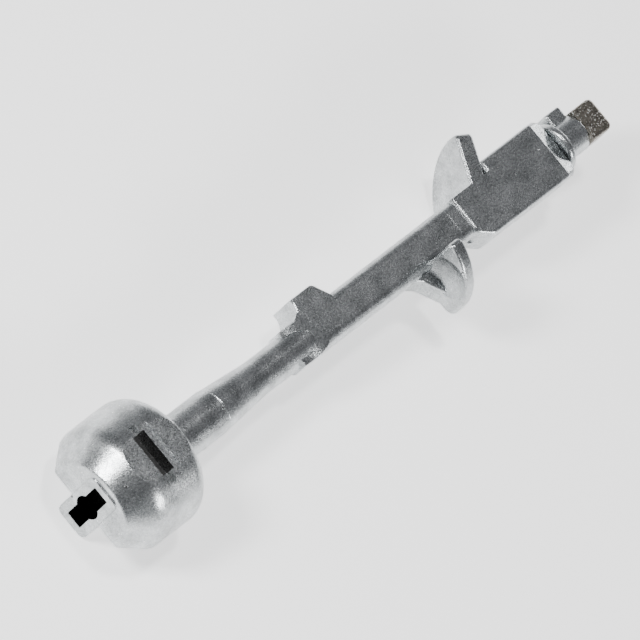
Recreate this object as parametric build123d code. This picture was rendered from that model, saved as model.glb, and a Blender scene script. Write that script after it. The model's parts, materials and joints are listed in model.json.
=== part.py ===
from build123d import *
import os
from math import cos, radians, sin, sqrt

# Multi-purpose fire hydrant wrench. Millimetres, +X from the socket head to the drive tip, +Z up,
# +Y towards the heel. The origin is where the hydrant square's axis meets the tool's long axis.

# Hydrant square, open at the underside.
SQUARE_SIZE = 25.0
SQUARE_CORNER = 2.0
SQUARE_ROOF = 17.5

# Socket head: a half drum with its flat side down, walled round the square, and its hub.
HEAD_RADIUS = 26.3
FRONT_WALL = 11.6
BACK_WALL = 2.6
FACE_RADIUS = 18.0
CONE_LENGTH = 11.2
HEAD_TOP = 24.6
HEAD_BASE = -2.6
HEAD_BACK_ROUND = 7.5
CONE_EDGE_ROUND = 9.0
FACE_EDGE_ROUND = 1.8
HUB_RADIUS = 9.3
HUB_LENGTH = 30.0
HUB_ROUND = 0.5
HUB_FILLET = 2.5

# Key profiles: one through the head's roof, one sunk in its front wall.
ROOF_SLOT_X = -3.0
ROOF_SLOT_LENGTH = 25.6
ROOF_SLOT_NARROW = 3.1
ROOF_SLOT_WIDE = 6.3
ROOF_SLOT_WIDE_LENGTH = 17.6
ROOF_LEDGE_DEPTH = 0.8
ROOF_LEDGE_WIDTH = 2.9
ROOF_LEDGE_LENGTH = 22.4
FACE_SLOT_TOP = 12.4
FACE_SLOT_BOTTOM = -11.6
FACE_SLOT_WIDTH = 7.0
FACE_SLOT_EYE_RADIUS = 5.1
FACE_SLOT_WEB = 2.7

# Tongue below the front wall, and the raised rim round the front profile.
TONGUE_WIDTH = 15.0
TONGUE_BOTTOM = -15.8
TONGUE_ABOVE_SLOT = 3.0
TONGUE_THICKNESS = 12.0
TONGUE_CORNER = 3.0
TONGUE_ROUND = 1.0
RIM_HEIGHT = 0.7

# Shank: round and necked behind the hub, then flat on top up to the seam.
SHOULDER_RADIUS = 9.1
SHOULDER_ROUND = 0.5
TAPER_LENGTH = 24.4
TAPER_ROUND = 8.0
NECKED_RADIUS = 7.2
NECKED_LENGTH = 27.0
FLAT_LENGTH = 81.0
BAR_HALF_WIDTH = 7.9
TOP_Z = 9.0
BOTTOM_Z = -7.2
BAR_ROUND = 4.2
BAR_LEAD_IN = 9.0
LEAD_IN_SINK = 1.0
STEP_LENGTH = 4.0
STEP_EDGE = 3.0
STEP_SKEW = 16.0
STEP_SCOOP_RADIUS = 15.0
STEP_SCOOP_DEPTH = 2.4

# Heel on the +Y side of the shank.
HEEL_REACH = 14.7
HEEL_SETBACK = 1.5
HEEL_LENGTH = 12.0
HEEL_SLOPE = 4.5
HEEL_THROAT = 7.0
HEEL_SINK = 0.7
HEEL_LIFT = 0.8
HEEL_ROUND = 0.8
HEEL_CORNER = 2.5

# Claws: plates that reach out almost to the head's own radius.
CLAW_SHY = 0.1
CLAW_ROOT = 5.5
CLAW_ROUND = 1.3
CLAW_FOOT = 1.5
RAISED_CLAW_SETBACK = 19.0
RAISED_CLAW_THICKNESS = 5.8
RAISED_CLAW_LOW = -4.5
RAISED_CLAW_CORNER = 4.0
RAISED_CLAW_TOP_ROUND = 2.0
RAISED_CLAW_INNER = 2.0
RAISED_DISH_RADIUS = 20.0
RAISED_DISH_DEPTH = 2.2
RAISED_DISH_Y = -14.5
RAISED_DISH_Z = 10.0
SWEPT_CLAW_SETBACK = 12.8
SWEPT_CLAW_THICKNESS = 7.4
SWEPT_CLAW_ANGLE = 26.0
SWEPT_CLAW_CORNER = 2.2
SWEPT_CLAW_LOW_ROUND = 2.5
SWEPT_CLAW_LIFT = 1.6
GUSSET_LENGTH = 8.0
GUSSET_WAIST = 4.4
GUSSET_SWELL = 2.2
GUSSET_REACH = 19.0
GUSSET_TOP = 3.5
GUSSET_SINK = 2.5
GUSSET_SHY = 0.4
GUSSET_CORNER = 2.0
GUSSET_ROUND = 1.2

# Flat blade behind the swept claw, measured from the seam.
BLADE_FLARE_SETBACK = 5.0
BLADE_FLARE_LENGTH = 6.5
BLADE_SETBACK = 26.0
BLADE_LENGTH = 61.0
BLADE_SLOPE_LENGTH = 6.5
BLADE_LEFT = 12.7
BLADE_RIGHT = -12.4
BLADE_NOSE_Z = 6.2
BLADE_FLARE_SINK = 0.6
BLADE_ROUND = 1.8
BLADE_CORNER = 4.2

# Collar and neck.
FLANGE_RADIUS = 10.2
FLANGE_THICKNESS = 3.2
FLANGE_ROUND = 1.2
NECK_RADIUS = 7.4
NECK_LENGTH = 10.8
NECK_ROUND = 0.6
NECK_FILLET = 0.8
LUG_REACH = 11.6
LUG_LENGTH = 8.2
LUG_HALF_HEIGHT = 4.0
LUG_SETBACK = 0.8
LUG_ROUND = 1.1

# Drive tip.
TIP_SIZE = 14.0
TIP_LENGTH = 10.8
TIP_ROUND = 1.5
TIP_CORNER = 2.2

# Spigots, cross pins and their fits.
SPIGOT_CLEARANCE = 0.05
END_CLEARANCE = 0.5
HEAD_SPIGOT_RADIUS = 6.0
HEAD_SPIGOT_LENGTH = 28.0
BLADE_SPIGOT_RADIUS = 5.0
BLADE_SPIGOT_LENGTH = 20.0
BLADE_PIN_SETBACK = 6.0
COLLAR_SPIGOT_RADIUS = 4.0
COLLAR_SPIGOT_LENGTH = 16.0
COLLAR_WEB = 1.5
TIP_SPIGOT_RADIUS = 4.0
PIN_CLEARANCE = 0.05
PIN_FLUSH = 0.15
PIN_CHAMFER = 0.3
HEAD_PIN_RADIUS = 2.0
BLADE_PIN_RADIUS = 1.5
COLLAR_PIN_RADIUS = 1.5
TIP_PIN_RADIUS = 1.25

# How far a cutting body, or the root of a joined one, runs past the face that it meets.
PAST = 1.0

# Places that follow from the sizes above.
HEAD_FRONT = -SQUARE_SIZE / 2 - FRONT_WALL
HEAD_BACK = SQUARE_SIZE / 2 + BACK_WALL
HUB_END = HEAD_BACK + HUB_LENGTH
FACE_SLOT_FRONT = HEAD_FRONT - RIM_HEIGHT
FACE_SLOT_BACK = HEAD_FRONT + FRONT_WALL - FACE_SLOT_WEB
TONGUE_TOP = FACE_SLOT_TOP + TONGUE_ABOVE_SLOT
TAPER_END = HUB_END + TAPER_LENGTH
FLAT_START = TAPER_END + NECKED_LENGTH
HEEL_FRONT = FLAT_START + HEEL_SETBACK
HEEL_BACK = HEEL_FRONT + HEEL_LENGTH
SEAM_X = FLAT_START + FLAT_LENGTH
CLAW_RADIUS = HEAD_RADIUS - CLAW_SHY
CLAW_FOOT_Z = BOTTOM_Z + CLAW_FOOT
RAISED_CLAW_X = SEAM_X - RAISED_CLAW_SETBACK
SWEPT_CLAW_X = SEAM_X + SWEPT_CLAW_SETBACK
BLADE_FLARE_START = SEAM_X + BLADE_FLARE_SETBACK
BLADE_FLARE_END = BLADE_FLARE_START + BLADE_FLARE_LENGTH
BLADE_START = SEAM_X + BLADE_SETBACK
BLADE_NOSE = SEAM_X + BLADE_LENGTH
BLADE_END = BLADE_NOSE - BLADE_SLOPE_LENGTH
FLANGE_BACK = BLADE_NOSE + FLANGE_THICKNESS
NECK_END = FLANGE_BACK + NECK_LENGTH
TIP_END = NECK_END + TIP_LENGTH
TIP_SPIGOT_LENGTH = NECK_END - BLADE_NOSE - COLLAR_WEB - END_CLEARANCE
HEAD_PIN_X = HUB_END - HEAD_SPIGOT_LENGTH / 2
BLADE_PIN_X = SEAM_X + BLADE_PIN_SETBACK
COLLAR_PIN_X = BLADE_NOSE - COLLAR_SPIGOT_LENGTH / 2
TIP_PIN_X = NECK_END - LUG_SETBACK - LUG_LENGTH / 2


def block(low, high):
    """A box between two opposite corners."""
    size = [high[i] - low[i] for i in range(3)]
    centre = [(high[i] + low[i]) / 2 for i in range(3)]
    return Pos(*centre) * Box(*size)


def rod(start, end, radius):
    """A round bar along the tool's axis."""
    bar = Cylinder(radius, end - start, align=(Align.CENTER, Align.CENTER, Align.MIN))
    return Pos(start, 0, 0) * Rot(0, 90, 0) * bar


def cross_rod(x, low_y, high_y, radius):
    """A round bar across the tool, along Y."""
    bar = Cylinder(radius, high_y - low_y, align=(Align.CENTER, Align.CENTER, Align.MIN))
    return Pos(x, low_y, 0) * Rot(-90, 0, 0) * bar


def pin_hole(x, reach, radius):
    """The hole for a cross pin, through a body that is no wider than reach on each side."""
    return cross_rod(x, -reach - PAST, reach + PAST, radius + PIN_CLEARANCE)


def turned(points, radii):
    """A body turned about the tool's axis from an (x, radius) outline with rounded corners."""
    outline = FilletPolyline(*[(x, 0, r) for x, r in points], radius=radii)
    closing = Line(outline @ 1, outline @ 0)
    return revolve(make_face([*outline.edges(), closing]), Axis.X)


def upright(points, low_z, high_z):
    """A closed XY outline raised from low_z to high_z."""
    face = make_face(Polyline(*points, close=True))
    return Pos(0, 0, low_z) * extrude(face, high_z - low_z)


def head_shell():
    """The solid half drum with its hub, before anything is cut out of it."""
    outline = [
        (HEAD_FRONT, 0),
        (HEAD_FRONT, FACE_RADIUS),
        (HEAD_FRONT + CONE_LENGTH, HEAD_RADIUS),
        (HEAD_BACK, HEAD_RADIUS),
        (HEAD_BACK, HUB_RADIUS),
        (HUB_END, HUB_RADIUS),
        (HUB_END, 0),
    ]
    radii = [FACE_EDGE_ROUND, CONE_EDGE_ROUND, HEAD_BACK_ROUND, HUB_FILLET, HUB_ROUND]
    shell = turned(outline, radii)
    wide = 2 * HEAD_RADIUS
    under = block((HEAD_FRONT - PAST, -wide, -wide), (HEAD_BACK, wide, HEAD_BASE))
    over = block((HEAD_FRONT - PAST, -wide, HEAD_TOP), (HEAD_BACK + PAST, wide, wide))
    return shell - under - over


def tongue():
    """The tab that hangs below the front wall, with the rim round the front profile."""
    outline = RectangleRounded(TONGUE_WIDTH, TONGUE_TOP - TONGUE_BOTTOM, TONGUE_CORNER)
    middle = (TONGUE_TOP + TONGUE_BOTTOM) / 2
    plane = Plane((FACE_SLOT_FRONT, 0, middle), x_dir=(0, 1, 0), z_dir=(1, 0, 0))
    tab = extrude(plane * outline, TONGUE_THICKNESS)
    rim = tab.faces().sort_by(Axis.X)[0].edges()
    return fillet(rim, min(TONGUE_ROUND, RIM_HEIGHT * 0.95))


def face_profile():
    """The key profile sunk in the front wall: a slot with a round eye at its middle."""
    front = FACE_SLOT_FRONT - PAST
    half_width = FACE_SLOT_WIDTH / 2
    slot = block((front, -half_width, FACE_SLOT_BOTTOM), (FACE_SLOT_BACK, half_width, FACE_SLOT_TOP))
    middle = (FACE_SLOT_TOP + FACE_SLOT_BOTTOM) / 2
    eye = Pos(0, 0, middle) * rod(front, FACE_SLOT_BACK, FACE_SLOT_EYE_RADIUS)
    return slot + eye


def roof_profile():
    """The key profile through the roof: narrow ends, a wide middle and a ledge behind it."""
    low = SQUARE_ROOF - PAST
    high = HEAD_TOP + PAST

    def bar(start, end, length, bottom):
        return block((start, -length / 2, bottom), (end, length / 2, high))

    narrow = ROOF_SLOT_NARROW / 2
    wide = ROOF_SLOT_WIDE / 2
    profile = bar(ROOF_SLOT_X - narrow, ROOF_SLOT_X + narrow, ROOF_SLOT_LENGTH, low)
    profile += bar(ROOF_SLOT_X - wide, ROOF_SLOT_X + wide, ROOF_SLOT_WIDE_LENGTH, low)
    ledge_end = ROOF_SLOT_X + wide + ROOF_LEDGE_WIDTH
    ledge = bar(ROOF_SLOT_X, ledge_end, ROOF_LEDGE_LENGTH, HEAD_TOP - ROOF_LEDGE_DEPTH)
    return profile + ledge


def hydrant_square():
    """The square hollow that takes a hydrant's spindle."""
    outline = RectangleRounded(SQUARE_SIZE, SQUARE_SIZE, SQUARE_CORNER)
    low = HEAD_BASE - PAST
    return Pos(0, 0, low) * extrude(outline, SQUARE_ROOF - low)


def socket_head():
    body = head_shell() + tongue()
    body -= hydrant_square()
    body -= face_profile()
    body -= roof_profile()
    bore_end = HUB_END - HEAD_SPIGOT_LENGTH - END_CLEARANCE
    body -= rod(bore_end, HUB_END + PAST, HEAD_SPIGOT_RADIUS + SPIGOT_CLEARANCE)
    return body - pin_hole(HEAD_PIN_X, HUB_RADIUS, HEAD_PIN_RADIUS)


def flat_bar(start, end):
    """The flat-topped bar with rounded long edges."""
    outline = RectangleRounded(2 * BAR_HALF_WIDTH, TOP_Z - BOTTOM_Z, BAR_ROUND)
    plane = Plane((start, 0, (TOP_Z + BOTTOM_Z) / 2), x_dir=(0, 1, 0), z_dir=(1, 0, 0))
    return extrude(plane * outline, end - start)


def round_shank():
    """The turned part of the shank, from its spigot to under the heel."""
    outline = [
        (HUB_END, 0),
        (HUB_END, SHOULDER_RADIUS),
        (TAPER_END, NECKED_RADIUS),
        (HEEL_BACK, NECKED_RADIUS),
        (HEEL_BACK, 0),
    ]
    spigot = rod(HUB_END - HEAD_SPIGOT_LENGTH, HUB_END + PAST, HEAD_SPIGOT_RADIUS)
    return turned(outline, [SHOULDER_ROUND, TAPER_ROUND, SHOULDER_ROUND]) + spigot


def heel():
    """The heel block with its hollow throat and sloping back."""
    low_y = NECKED_RADIUS - HEEL_SINK
    centre_y = low_y + HEEL_THROAT
    throat_x = HEEL_FRONT - HEEL_THROAT
    part_way = HEEL_THROAT * sin(radians(45))
    throat = ThreePointArc(
        (throat_x, low_y),
        (throat_x + part_way, centre_y - part_way),
        (HEEL_FRONT, centre_y),
    )
    rest = Polyline(
        (HEEL_FRONT, centre_y),
        (HEEL_FRONT, HEEL_REACH),
        (HEEL_BACK, HEEL_REACH),
        (HEEL_BACK + HEEL_SLOPE, BAR_HALF_WIDTH - PAST),
        (HEEL_BACK + HEEL_SLOPE, 0),
        (throat_x, 0),
        (throat_x, low_y),
    )
    bottom = BOTTOM_Z + HEEL_LIFT
    body = Pos(0, 0, bottom) * extrude(make_face([throat, *rest.edges()]), TOP_Z - bottom)
    corners = body.edges().filter_by(Axis.Z).group_by(Axis.Y)[-1].sort_by(Axis.X)
    body = fillet(corners[-1], HEEL_CORNER)
    rims = [body.faces().sort_by(Axis.Z)[end].edges() for end in (0, -1)]
    proud = [e for rim in rims for e in rim if e.center().Y > BAR_HALF_WIDTH + HEEL_CORNER]
    return fillet(proud, HEEL_ROUND)


def step_scoop():
    """The hollow in front of the raised flat, its edge at a skew across the shank."""
    centre_z = NECKED_RADIUS - STEP_SCOOP_DEPTH + STEP_SCOOP_RADIUS
    run = sqrt(STEP_SCOOP_RADIUS**2 - (centre_z - TOP_Z) ** 2)
    roller = Rot(90, 0, 0) * Cylinder(STEP_SCOOP_RADIUS, 4 * HEEL_REACH)
    return Pos(FLAT_START + STEP_EDGE - run, 0, centre_z) * Rot(0, 0, STEP_SKEW) * roller


def raised_claw():
    """The claw that stands up on the -Y side: a quarter plate with a dished front."""
    low_y = -sqrt(CLAW_RADIUS**2 - RAISED_CLAW_LOW**2)
    top_z = sqrt(CLAW_RADIUS**2 - CLAW_ROOT**2)
    middle = radians(140)
    rim = ThreePointArc(
        (-CLAW_ROOT, top_z),
        (CLAW_RADIUS * cos(middle), CLAW_RADIUS * sin(middle)),
        (low_y, RAISED_CLAW_LOW),
    )
    rest = Polyline(
        (low_y, RAISED_CLAW_LOW),
        (-BAR_HALF_WIDTH, CLAW_FOOT_Z),
        (-RAISED_CLAW_INNER, CLAW_FOOT_Z),
        (-RAISED_CLAW_INNER, 0),
        (-CLAW_ROOT, TOP_Z - RAISED_CLAW_INNER),
        (-CLAW_ROOT, top_z),
    )
    plane = Plane((RAISED_CLAW_X, 0, 0), x_dir=(0, 1, 0), z_dir=(1, 0, 0))
    plate = extrude(plane * make_face([rim, *rest.edges()]), RAISED_CLAW_THICKNESS)
    tip = plate.edges().filter_by(Axis.X).sort_by(Axis.Y)[0]
    plate = fillet(tip, RAISED_CLAW_CORNER)
    top = plate.edges().filter_by(Axis.X).sort_by(Axis.Z)[-1]
    plate = fillet(top, RAISED_CLAW_TOP_ROUND)
    edges = [e for face in plate.faces().filter_by(Axis.X) for e in face.edges()]
    outer = [e for e in edges if e.center().Y < -CLAW_ROOT - PAST and e.center().Z > RAISED_CLAW_LOW]
    plate = fillet(outer, CLAW_ROUND)
    dish_x = RAISED_CLAW_X - RAISED_DISH_RADIUS + RAISED_DISH_DEPTH
    return plate - Pos(dish_x, RAISED_DISH_Y, RAISED_DISH_Z) * Sphere(RAISED_DISH_RADIUS)


def gusset():
    """A wedge that braces the raised claw's front against the bar."""
    front = RAISED_CLAW_X - GUSSET_LENGTH
    root = -(BAR_HALF_WIDTH - GUSSET_SINK)
    outline = [
        (front, root),
        (front, -(BAR_HALF_WIDTH - GUSSET_SHY)),
        (RAISED_CLAW_X - GUSSET_WAIST, -(BAR_HALF_WIDTH + GUSSET_SWELL)),
        (RAISED_CLAW_X + PAST, -GUSSET_REACH),
        (RAISED_CLAW_X + PAST, root),
    ]
    body = upright(outline, CLAW_FOOT_Z, GUSSET_TOP)
    rounded = body.edges().filter_by(Axis.Z).sort_by(Axis.X)[1:3]
    body = fillet(rounded, GUSSET_CORNER)
    return fillet(body.faces().sort_by(Axis.Z)[-1].edges(), GUSSET_ROUND)


def claw_shank():
    """The shank with its heel and the raised claw, and a spigot at each end."""
    bar_start = FLAT_START - BAR_LEAD_IN
    body = flat_bar(bar_start, SEAM_X) + heel() - step_scoop()
    body -= block(
        (bar_start - PAST, -HEEL_REACH - PAST, NECKED_RADIUS - LEAD_IN_SINK),
        (FLAT_START - STEP_LENGTH, HEEL_REACH + PAST, TOP_Z + PAST),
    )
    body += round_shank()
    body += raised_claw() + gusset()
    body += rod(SEAM_X - PAST, SEAM_X + BLADE_SPIGOT_LENGTH, BLADE_SPIGOT_RADIUS)
    body -= pin_hole(HEAD_PIN_X, HEAD_SPIGOT_RADIUS, HEAD_PIN_RADIUS)
    return body - pin_hole(BLADE_PIN_X, BLADE_SPIGOT_RADIUS, BLADE_PIN_RADIUS)


def swept_claw():
    """The claw that hangs down on the +Y side, swept back towards the drive tip."""
    spread = 1 / cos(radians(SWEPT_CLAW_ANGLE))
    top_y = CLAW_RADIUS * spread
    low_z = -sqrt(CLAW_RADIUS**2 - CLAW_ROOT**2) + SWEPT_CLAW_LIFT
    middle = radians(-35)
    rim = ThreePointArc(
        (CLAW_ROOT, low_z),
        (CLAW_RADIUS * cos(middle) * (1 + spread) / 2, CLAW_RADIUS * sin(middle)),
        (top_y, TOP_Z),
    )
    rest = Polyline(
        (top_y, TOP_Z),
        (0, TOP_Z),
        (0, CLAW_FOOT_Z),
        (CLAW_ROOT, BOTTOM_Z),
        (CLAW_ROOT, low_z),
    )
    plane = Plane((0, 0, 0), x_dir=(0, 1, 0), z_dir=(1, 0, 0))
    plate = extrude(plane * make_face([rim, *rest.edges()]), SWEPT_CLAW_THICKNESS)
    tip = plate.edges().filter_by(Axis.X).group_by(Axis.Y)[-1]
    plate = fillet(tip, SWEPT_CLAW_CORNER)
    low = plate.edges().filter_by(Axis.X).sort_by(Axis.Z)[0]
    plate = fillet(low, SWEPT_CLAW_LOW_ROUND)
    edges = [e for face in plate.faces().filter_by(Axis.X) for e in face.edges()]
    plate = fillet([e for e in edges if e.center().Y > CLAW_ROOT - CLAW_SHY], CLAW_ROUND)
    return Pos(SWEPT_CLAW_X, 0, 0) * Rot(0, 0, -SWEPT_CLAW_ANGLE) * plate


def blade_block():
    """The flat blade with its flared right side and its sloping nose."""
    outline = [
        (BLADE_FLARE_START, BAR_HALF_WIDTH),
        (BLADE_FLARE_START, -BAR_HALF_WIDTH + BLADE_FLARE_SINK),
        (BLADE_FLARE_END, BLADE_RIGHT),
        (BLADE_NOSE, BLADE_RIGHT),
        (BLADE_NOSE, BLADE_LEFT),
        (BLADE_START, BLADE_LEFT),
        (BLADE_START, BAR_HALF_WIDTH),
    ]
    body = upright(outline, BOTTOM_Z, TOP_Z)
    corners = body.edges().filter_by(Axis.Z)
    nose = corners.group_by(Axis.X)[-1]
    right = [e for e in corners if e.center().Y < 0]
    flare = [e for e in right if e.center().X < BLADE_FLARE_END + PAST]
    body = fillet([*nose, *flare], BLADE_CORNER) - nose_slope()
    rims = [e for e in body.edges() if e.center().X > BLADE_FLARE_START + PAST]
    rims = [e for e in rims if abs(e.center().Y) > BAR_HALF_WIDTH or e.center().X > BLADE_NOSE - PAST]
    upright_edges = body.edges().filter_by(Axis.Z)
    return fillet([e for e in rims if e not in upright_edges], BLADE_ROUND)


def nose_slope():
    """What the slope takes off the blade's top, from its crease down to the nose."""
    fall = (TOP_Z - BLADE_NOSE_Z) / BLADE_SLOPE_LENGTH
    past_nose = BLADE_NOSE + PAST
    outline = Polyline(
        (BLADE_END, 0, TOP_Z),
        (past_nose, 0, TOP_Z - fall * (past_nose - BLADE_END)),
        (past_nose, 0, TOP_Z + PAST),
        (BLADE_END, 0, TOP_Z + PAST),
        close=True,
    )
    return Pos(0, 2 * BLADE_LEFT, 0) * extrude(make_face(outline), 4 * BLADE_LEFT)


def claw_blade():
    """The blade with the swept claw, bored at both ends."""
    body = flat_bar(SEAM_X, BLADE_FLARE_START)
    body += blade_block()
    body += swept_claw()
    bore_end = SEAM_X + BLADE_SPIGOT_LENGTH + END_CLEARANCE
    body -= rod(SEAM_X - PAST, bore_end, BLADE_SPIGOT_RADIUS + SPIGOT_CLEARANCE)
    bore_end = BLADE_NOSE - COLLAR_SPIGOT_LENGTH - END_CLEARANCE
    body -= rod(bore_end, BLADE_NOSE + PAST, COLLAR_SPIGOT_RADIUS + SPIGOT_CLEARANCE)
    body -= pin_hole(BLADE_PIN_X, BLADE_LEFT, BLADE_PIN_RADIUS)
    return body - pin_hole(COLLAR_PIN_X, BLADE_LEFT, COLLAR_PIN_RADIUS)


def end_collar():
    """The flange and neck, with the lug on the +Y side."""
    outline = [
        (BLADE_NOSE, 0),
        (BLADE_NOSE, FLANGE_RADIUS),
        (FLANGE_BACK, FLANGE_RADIUS),
        (FLANGE_BACK, NECK_RADIUS),
        (NECK_END, NECK_RADIUS),
        (NECK_END, 0),
    ]
    body = turned(outline, [FLANGE_ROUND, FLANGE_ROUND, NECK_FILLET, NECK_ROUND])
    lug = block(
        (TIP_PIN_X - LUG_LENGTH / 2, 0, -LUG_HALF_HEIGHT),
        (TIP_PIN_X + LUG_LENGTH / 2, LUG_REACH, LUG_HALF_HEIGHT),
    )
    outer = lug.faces().sort_by(Axis.Y)[-1].edges() + lug.edges().filter_by(Axis.Y)
    body += fillet(outer, LUG_ROUND)
    body += rod(BLADE_NOSE - COLLAR_SPIGOT_LENGTH, BLADE_NOSE + PAST, COLLAR_SPIGOT_RADIUS)
    bore_end = NECK_END - TIP_SPIGOT_LENGTH - END_CLEARANCE
    body -= rod(bore_end, NECK_END + PAST, TIP_SPIGOT_RADIUS + SPIGOT_CLEARANCE)
    body -= pin_hole(COLLAR_PIN_X, COLLAR_SPIGOT_RADIUS, COLLAR_PIN_RADIUS)
    return body - pin_hole(TIP_PIN_X, LUG_REACH, TIP_PIN_RADIUS)


def drive_tip():
    """The hardened square tip on its spigot."""
    square = block((NECK_END, -TIP_SIZE / 2, -TIP_SIZE / 2), (TIP_END, TIP_SIZE / 2, TIP_SIZE / 2))
    square = fillet(square.edges().filter_by(Axis.Z).group_by(Axis.X)[-1], TIP_CORNER)
    rims = square.faces().sort_by(Axis.Z)[0].edges() + square.faces().sort_by(Axis.Z)[-1].edges()
    square = fillet([e for e in rims if e.center().X > NECK_END + PAST], TIP_ROUND)
    body = square + rod(NECK_END - TIP_SPIGOT_LENGTH, NECK_END + PAST, TIP_SPIGOT_RADIUS)
    return body - pin_hole(TIP_PIN_X, TIP_SPIGOT_RADIUS, TIP_PIN_RADIUS)


def cross_pin(x, low_y, high_y, radius):
    """A pin across a joint, its ends just under the surface and chamfered."""
    pin = cross_rod(x, low_y + PIN_FLUSH, high_y - PIN_FLUSH, radius)
    return chamfer(pin.edges().filter_by(GeomType.CIRCLE), PIN_CHAMFER)


PARTS = {
    "socket_head": socket_head,
    "claw_shank": claw_shank,
    "claw_blade": claw_blade,
    "end_collar": end_collar,
    "drive_tip": drive_tip,
    "head_pin": lambda: cross_pin(HEAD_PIN_X, -HUB_RADIUS, HUB_RADIUS, HEAD_PIN_RADIUS),
    "blade_pin": lambda: cross_pin(BLADE_PIN_X, -BAR_HALF_WIDTH, BAR_HALF_WIDTH, BLADE_PIN_RADIUS),
    "collar_pin": lambda: cross_pin(COLLAR_PIN_X, BLADE_RIGHT, BLADE_LEFT, COLLAR_PIN_RADIUS),
    "tip_pin": lambda: cross_pin(TIP_PIN_X, -NECK_RADIUS, LUG_REACH, TIP_PIN_RADIUS),
}

os.makedirs("parts", exist_ok=True)
for name, make in PARTS.items():
    export_step(make(), f"parts/{name}.step")
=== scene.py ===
import json
from math import radians, cos, sin

import bpy
from mathutils import Matrix, Vector


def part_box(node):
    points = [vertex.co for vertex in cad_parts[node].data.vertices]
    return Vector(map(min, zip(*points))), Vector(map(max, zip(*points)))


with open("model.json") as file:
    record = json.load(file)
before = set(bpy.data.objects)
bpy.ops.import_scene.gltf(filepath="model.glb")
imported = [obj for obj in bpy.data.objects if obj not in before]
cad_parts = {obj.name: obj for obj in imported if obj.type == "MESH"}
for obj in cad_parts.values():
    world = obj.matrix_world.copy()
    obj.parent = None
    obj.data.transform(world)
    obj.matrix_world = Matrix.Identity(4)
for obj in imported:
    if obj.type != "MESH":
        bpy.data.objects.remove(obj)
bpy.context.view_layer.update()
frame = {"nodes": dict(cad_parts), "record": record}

# View: tilt of the tool's axis out of the picture, roll about it, and its slope in the picture.
AXIS_TILT = radians(35.0)
AXIS_ROLL = radians(3.0)
AXIS_SLOPE = radians(37.55)
PICTURE_WIDTH = 0.2355
CENTRE_ALONG = 0.0802
CENTRE_RIGHT = 0.0171
CENTRE_UP = 0.0164
LENS_MM = 1500.0
SENSOR_MM = 36.0
CLIP_NEAR = 1.0
CLIP_FAR = 50.0

# The floor: half its side, how far it stays below the tool, and where the swept claw touches it.
FLOOR_HALF = 6.0
FLOOR_GAP = 0.0004
CLAW_TOUCH_X = 0.2
FLOOR_GLOW = 1.0

# Surface grain, in metres from one grain to the next.
GRAIN = 0.00045
MOTTLE = 0.0009
CLOUD = 0.007
EDGE_RADIUS = 0.00025

# Zinc plating: its tones, roughness and bright specks.
ZINC_DARK = (0.30, 0.315, 0.32)
ZINC_LIGHT = (0.60, 0.62, 0.63)
ZINC_SPECK = (0.85, 0.86, 0.86)
ZINC_ROUGH = (0.25, 0.30)
# Near-black painted inside the head's hollows as shade.
HOLLOW_SHADE_PAINT = (0.012, 0.012, 0.012)
PIT_TONE = (0.07, 0.07, 0.07)
PIT_SPACING = 0.011
PIT_EDGE = (0.035, 0.06)

# The stretch of a noise's values that is spread over a tone, and the bumps' strengths and depths.
NOISE_RANGE = (0.3, 0.7)
WAVE_BUMP = (0.28, 0.0006)
GRAIN_BUMP_DEPTH = 0.00012
PIT_BUMP = (0.9, 0.0003)

# The head's hollows, painted near-black as shade: how far past their stated boxes the painted shade goes.
HOLLOW_MARGIN = 0.0003
SQUARE_MARGIN = 0.0008
EYE_RADIUS = 0.0052


def view_axes():
    """Right, up and towards-camera directions of the picture, in the tool's frame."""
    t, r, s = AXIS_TILT, AXIS_ROLL, AXIS_SLOPE
    toward = Vector((-sin(t), -sin(r) * cos(t), cos(r) * cos(t)))
    along = Vector((cos(t), -sin(t) * sin(r), sin(t) * cos(r)))
    across = Vector((0.0, -cos(r), -sin(r)))
    right = cos(s) * along + sin(s) * across
    up = sin(s) * along - cos(s) * across
    return right, up, toward


def aimed(location, target):
    """A world matrix at location whose -Z points at target."""
    look = (target - location).normalized()
    return Matrix.Translation(location) @ look.to_track_quat("-Z", "Y").to_matrix().to_4x4()


def add_camera():
    right, up, toward = view_axes()
    centre = Vector((CENTRE_ALONG, 0.0, 0.0)) + CENTRE_RIGHT * right + CENTRE_UP * up
    data = bpy.data.cameras.new("camera")
    data.sensor_width = SENSOR_MM
    data.lens = LENS_MM
    data.clip_start, data.clip_end = CLIP_NEAR, CLIP_FAR
    distance = PICTURE_WIDTH * LENS_MM / SENSOR_MM
    turn = Matrix((right, up, toward)).transposed().to_4x4()
    camera = bpy.data.objects.new("camera", data)
    camera.matrix_world = Matrix.Translation(centre + distance * toward) @ turn
    bpy.context.scene.collection.objects.link(camera)
    bpy.context.scene.camera = camera


def add_area_light(name, direction, distance, size, power, colour=(1.0, 1.0, 1.0)):
    """A soft box in the given direction from the middle of the tool."""
    middle = Vector((0.11, 0.0, 0.0))
    data = bpy.data.lights.new(name, "AREA")
    data.shape = "RECTANGLE"
    data.size, data.size_y = size
    data.energy = power
    data.color = colour
    light = bpy.data.objects.new(name, data)
    light.matrix_world = aimed(middle + distance * Vector(direction).normalized(), middle)
    bpy.context.scene.collection.objects.link(light)


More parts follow.
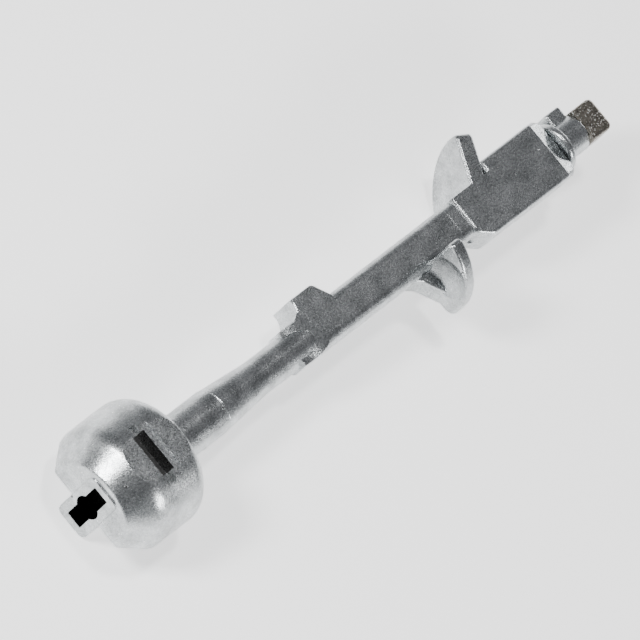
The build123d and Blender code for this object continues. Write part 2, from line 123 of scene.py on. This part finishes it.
class Nodes:
    """A short way to write a node tree."""

    def __init__(self, tree):
        self.tree = tree
        tree.nodes.clear()

    def add(self, kind, inputs=None, **settings):
        node = self.tree.nodes.new(kind)
        for key, value in settings.items():
            setattr(node, key, value)
        for key, value in (inputs or {}).items():
            if isinstance(value, bpy.types.NodeSocket):
                self.tree.links.new(value, node.inputs[key])
            else:
                node.inputs[key].default_value = value
        return node

    def noise(self, where, step, detail=2.0, roughness=0.5, distortion=0.0):
        values = {"Vector": where, "Scale": 1.0 / step, "Detail": detail}
        values.update({"Roughness": roughness, "Distortion": distortion})
        return self.add("ShaderNodeTexNoise", values).outputs["Fac"]

    def remap(self, value, low, high, to_low, to_high):
        values = {"Value": value, "From Min": low, "From Max": high, "To Min": to_low, "To Max": to_high}
        return self.add("ShaderNodeMapRange", values).outputs["Result"]

    def ramp(self, value, stops):
        node = self.add("ShaderNodeValToRGB", {"Fac": value})
        elements = node.color_ramp.elements
        while len(elements) < len(stops):
            elements.new(0.5)
        for element, (place, colour) in zip(elements, stops):
            element.position = place
            element.color = (*colour, 1.0)
        return node.outputs["Color"]

    def mix(self, factor, first, second):
        node = self.add("ShaderNodeMix", data_type="RGBA")
        pairs = [(node.inputs[0], factor), (node.inputs[6], first), (node.inputs[7], second)]
        for socket, value in pairs:
            if isinstance(value, bpy.types.NodeSocket):
                self.tree.links.new(value, socket)
            elif isinstance(value, tuple):
                socket.default_value = (*value, 1.0)
            else:
                socket.default_value = value
        return node.outputs[2]

    def math(self, operation, first, second):
        node = self.add("ShaderNodeMath", {0: first, 1: second}, operation=operation)
        return node.outputs["Value"]


def inside_box(n, where, low, high):
    """One inside the box between two corners, nought outside."""
    centre = [(a + b) / 2 for a, b in zip(low, high)]
    half = [(b - a) / 2 for a, b in zip(low, high)]
    offset = n.add("ShaderNodeVectorMath", {0: where, 1: centre}, operation="SUBTRACT").outputs["Vector"]
    apart = n.add("ShaderNodeVectorMath", {0: offset}, operation="ABSOLUTE").outputs["Vector"]
    past = n.add("ShaderNodeVectorMath", {0: apart, 1: half}, operation="SUBTRACT").outputs["Vector"]
    x, y, z = n.add("ShaderNodeSeparateXYZ", {"Vector": past}).outputs
    return n.math("LESS_THAN", n.math("MAXIMUM", n.math("MAXIMUM", x, y), z), 0.0)


def hollows(n, where):
    """One on the walls of the hydrant square and the two key profiles, where near-black shade is painted.
    """
    boxes = {row["name"]: row["box_m"] for row in frame["record"]["physics"]["openings"]}
    found = 0.0
    for name, margin in (("hydrant_square", SQUARE_MARGIN), ("roof_profile", HOLLOW_MARGIN)):
        low, high = boxes[name]
        low, high = [v - margin for v in low], [v + margin for v in high]
        found = n.math("MAXIMUM", found, inside_box(n, where, low, high))
    # The front profile's painted-shade mask starts behind the rim's face, so that the rim itself keeps
    # the zinc colour.
    low, high = boxes["front_profile"]
    low = [v - HOLLOW_MARGIN * w for v, w in zip(low, (-1.0, 1.0, 2.0))]
    high = [v + HOLLOW_MARGIN * w for v, w in zip(high, (2.0, 1.0, 2.0))]
    found = n.math("MAXIMUM", found, inside_box(n, where, low, high))
    middle = (0.0, 0.0, (low[2] + high[2]) / 2)
    across = {0: where, 1: (0.0, 1.0, 1.0)}
    radial = n.add("ShaderNodeVectorMath", across, operation="MULTIPLY").outputs["Vector"]
    apart = {0: radial, 1: middle}
    distance = n.add("ShaderNodeVectorMath", apart, operation="DISTANCE").outputs["Value"]
    x = n.add("ShaderNodeSeparateXYZ", {"Vector": where}).outputs["X"]
    sunk = n.math("MULTIPLY", n.math("GREATER_THAN", x, low[0]), n.math("LESS_THAN", x, high[0]))
    eye = n.math("MULTIPLY", n.math("LESS_THAN", distance, EYE_RADIUS), sunk)
    return n.math("MAXIMUM", found, eye)


def plated_metal(name, dark, light, rough, grain_strength, speck, speck_share, shade_in_hollows=False):
    """Cast and plated metal: mottled tone, fine grain, bright specks and a few pits; on request,
    near-black shade painted in the head's hollows.
    """
    material = bpy.data.materials.new(name)
    material.use_nodes = True
    n = Nodes(material.node_tree)
    where = n.add("ShaderNodeTexCoord").outputs["Object"]
    grain = n.noise(where, GRAIN, 2.0, 0.6)
    mottle = n.noise(where, MOTTLE, 3.0, 0.6)
    cloud = n.noise(where, CLOUD, 3.0, 0.5)
    fine_tone = n.remap(mottle, *NOISE_RANGE, 0.0, 0.45)
    broad_tone = n.remap(cloud, *NOISE_RANGE, 0.0, 0.55)
    tone = n.math("ADD", fine_tone, broad_tone)
    colour = n.ramp(tone, [(0.15, dark), (0.85, light)])
    specks = n.remap(n.noise(where, GRAIN * 1.6, 1.0, 0.4), speck_share, speck_share + 0.05, 0.0, 1.0)
    colour = n.mix(specks, colour, speck)
    pit_seed = n.add("ShaderNodeTexVoronoi", {"Vector": where, "Scale": 1.0 / PIT_SPACING})
    pits = n.remap(pit_seed.outputs["Distance"], *PIT_EDGE, 1.0, 0.0)
    colour = n.mix(pits, colour, PIT_TONE)
    base_rough = n.remap(mottle, *NOISE_RANGE, *rough)
    grain_rough = n.remap(grain, *NOISE_RANGE, -0.05, 0.05)
    roughness = n.math("ADD", base_rough, grain_rough)
    soft = n.add("ShaderNodeBevel", {"Radius": EDGE_RADIUS}, samples=4).outputs["Normal"]
    values = {"Strength": WAVE_BUMP[0], "Distance": WAVE_BUMP[1], "Height": cloud, "Normal": soft}
    waves = n.add("ShaderNodeBump", values).outputs["Normal"]
    values = {"Strength": grain_strength, "Distance": GRAIN_BUMP_DEPTH, "Height": grain, "Normal": waves}
    bump = n.add("ShaderNodeBump", values).outputs["Normal"]
    unpitted = n.math("SUBTRACT", 1.0, pits)
    values = {"Strength": PIT_BUMP[0], "Distance": PIT_BUMP[1], "Height": unpitted, "Normal": bump}
    bump = n.add("ShaderNodeBump", values).outputs["Normal"]
    # Paint the head's hollows near-black, as shade.
    if shade_in_hollows:
        colour = n.mix(hollows(n, where), colour, HOLLOW_SHADE_PAINT)
    values = {"Base Color": colour, "Roughness": roughness, "Normal": bump, "Metallic": 1.0}
    shader = n.add("ShaderNodeBsdfPrincipled", values)
    n.add("ShaderNodeOutputMaterial", {"Surface": shader.outputs["BSDF"]})
    return material


def assign(node, material):
    """Put one material on every slot of a CAD node."""
    piece = frame["nodes"][node]
    if not piece.material_slots:
        piece.data.materials.append(material)
    for slot in piece.material_slots:
        slot.material = material


def add_materials():
    zinc = plated_metal("zinc_plate", ZINC_DARK, ZINC_LIGHT, ZINC_ROUGH, 0.5, ZINC_SPECK, 0.72)
    tip = plated_metal(
        "tip_steel", (0.13, 0.12, 0.10), (0.27, 0.25, 0.22), (0.28, 0.4),
        0.7, (0.95, 0.94, 0.9), 0.62,
    )
    pin = plated_metal(
        "pin_steel", (0.30, 0.31, 0.32), (0.5, 0.51, 0.52), (0.28, 0.4),
        0.3, (0.7, 0.7, 0.7), 0.75,
    )
    # The head's material paints its hollows near-black as shade.
    head = plated_metal("zinc_plate_head", ZINC_DARK, ZINC_LIGHT, ZINC_ROUGH, 0.5, ZINC_SPECK, 0.72, True)
    assign("socket_head", head)
    for node in ["claw_shank", "claw_blade", "end_collar"]:
        assign(node, zinc)
    assign("drive_tip", tip)
    for node in ["head_pin", "blade_pin", "collar_pin", "tip_pin"]:
        assign(node, pin)


def add_floor():
    """A pale floor under the tongue and the swept claw, which the tool lies on."""
    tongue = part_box("socket_head")[0]
    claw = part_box("claw_blade")[0]
    fall = (claw[2] - tongue[2]) / (CLAW_TOUCH_X - tongue[0])
    normal = Vector((-fall, 0.0, 1.0)).normalized()
    point = Vector((tongue[0], 0.0, tongue[2] - FLOOR_GAP))
    corners = [(x * FLOOR_HALF, y * FLOOR_HALF, 0) for x, y in ((-1, -1), (1, -1), (1, 1), (-1, 1))]
    mesh = bpy.data.meshes.new("floor")
    turn = normal.to_track_quat("Z", "Y")
    mesh.from_pydata([point + turn @ Vector(c) for c in corners], [], [(0, 1, 2, 3)])
    floor = bpy.data.objects.new("floor", mesh)
    bpy.context.scene.collection.objects.link(floor)
    material = bpy.data.materials.new("pale_floor")
    material.use_nodes = True
    n = Nodes(material.node_tree)
    where = n.add("ShaderNodeTexCoord").outputs["Object"]
    colour = n.ramp(n.noise(where, 0.5), [(0.3, (0.96, 0.96, 0.96)), (0.7, (0.98, 0.98, 0.98))])
    shader = n.add("ShaderNodeBsdfPrincipled", {"Base Color": colour, "Roughness": 0.9})
    shader.inputs["Emission Color"].default_value = (1.0, 1.0, 1.0, 1.0)
    shader.inputs["Emission Strength"].default_value = FLOOR_GLOW
    n.add("ShaderNodeOutputMaterial", {"Surface": shader.outputs["BSDF"]})
    mesh.materials.append(material)


def add_world():
    """Grey studio air: bright near the horizon, darker overhead."""
    world = bpy.data.worlds.new("studio")
    world.use_nodes = True
    n = Nodes(world.node_tree)
    where = n.add("ShaderNodeTexCoord").outputs["Generated"]
    height = n.add("ShaderNodeSeparateXYZ", {"Vector": where}).outputs["Z"]
    stops = [
        (0.0, (0.7, 0.71, 0.72)),
        (0.2, (0.4, 0.41, 0.42)),
        (0.5, (0.2, 0.2, 0.21)),
        (1.0, (0.15, 0.15, 0.155)),
    ]
    colour = n.ramp(height, stops)
    shader = n.add("ShaderNodeBackground", {"Color": colour, "Strength": 1.0})
    n.add("ShaderNodeOutputWorld", {"Surface": shader.outputs["Background"]})
    bpy.context.scene.world = world


def add_lights():
    add_area_light("key", (-0.6, 0.42, 0.62), 1.1, (0.22, 0.22), 12.0)
    add_area_light("side", (0.1, -1.0, 0.45), 1.3, (0.7, 0.22), 10.0)
    add_area_light("back", (1.0, 0.1, 0.16), 1.2, (0.4, 0.15), 2.0)
    add_area_light("top", (0.1, 0.2, 1.0), 2.2, (0.25, 0.25), 20.0)


add_camera()
add_floor()
add_world()
add_lights()
add_materials()
